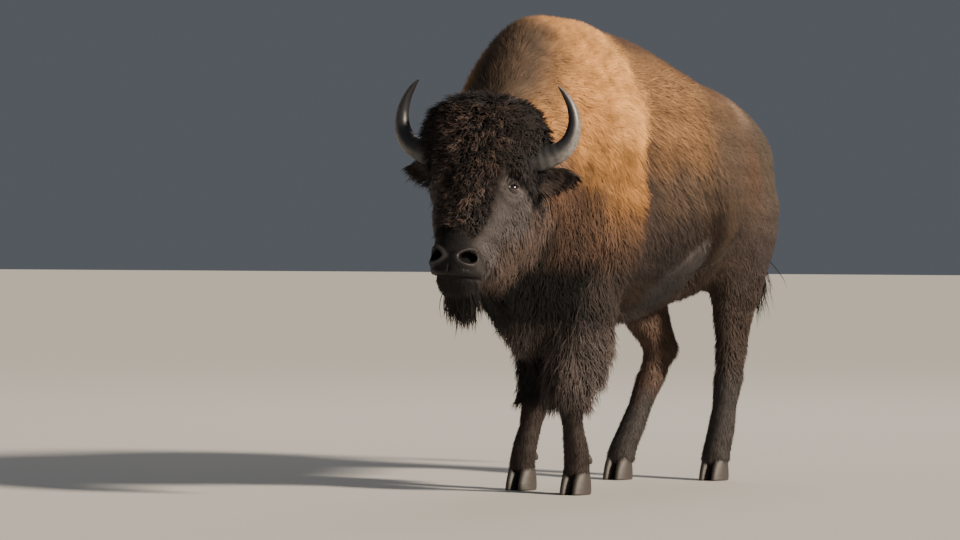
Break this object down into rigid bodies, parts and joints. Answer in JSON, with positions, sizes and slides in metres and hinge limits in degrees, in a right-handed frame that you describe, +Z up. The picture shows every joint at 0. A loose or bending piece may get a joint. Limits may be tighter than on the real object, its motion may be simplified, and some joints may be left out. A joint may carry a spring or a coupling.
{
  "type": "american bison",
  "caption": "Life-size still model of a young American bison bull standing in mid-step, head turned a little, with curved horns, hump, beard and shaggy forelegs.",
  "frame": {"origin": "on the ground below the middle of the whole animal's box", "axes": "+Z up, -Y the way the bull faces, +X its left"},
  "size_m": [0.8046, 2.4322, 1.5976],
  "materials": {
    "coat_tan": "dense woolly coat, tan",
    "coat_brown": "short brown coat",
    "coat_dark": "dark brown coat",
    "coat_black": "long black-brown hair",
    "horn": "grey-black horn, worn smooth",
    "hoof": "dark hoof horn",
    "eye": "wet, dark brown"
  },
  "bodies": {
    "root": {"hindquarters": "coat_brown", "barrel": "coat_brown", "shoulders": "coat_tan", "neck": "coat_dark", "eye_left": "eye", "horn_left": "horn", "ear_left": "coat_black", "eye_right": "eye", "horn_right": "horn", "ear_right": "coat_black", "head": "coat_dark", "beard": "coat_black", "tail": "coat_brown", "tail_tuft": "coat_black", "hindleg_left_upper": "coat_dark", "hindleg_left_lower": "coat_dark", "hindleg_left_foot": "coat_dark", "hindleg_left_hoof_left": "hoof", "hindleg_left_dewclaw_left": "hoof", "hindleg_left_hoof_right": "hoof", "hindleg_left_dewclaw_right": "hoof", "hindleg_right_upper": "coat_dark", "hindleg_right_lower": "coat_dark", "hindleg_right_foot": "coat_dark", "hindleg_right_hoof_left": "hoof", "hindleg_right_dewclaw_left": "hoof", "hindleg_right_hoof_right": "hoof", "hindleg_right_dewclaw_right": "hoof", "foreleg_left_upper": "coat_dark", "foreleg_left_lower": "coat_dark", "foreleg_left_foot": "coat_dark", "foreleg_left_hoof_left": "hoof", "foreleg_left_dewclaw_left": "hoof", "foreleg_left_hoof_right": "hoof", "foreleg_left_dewclaw_right": "hoof", "foreleg_right_upper": "coat_dark", "foreleg_right_lower": "coat_dark", "foreleg_right_foot": "coat_dark", "foreleg_right_hoof_left": "hoof", "foreleg_right_dewclaw_left": "hoof", "foreleg_right_hoof_right": "hoof", "foreleg_right_dewclaw_right": "hoof"}
  },
  "joints": []
}
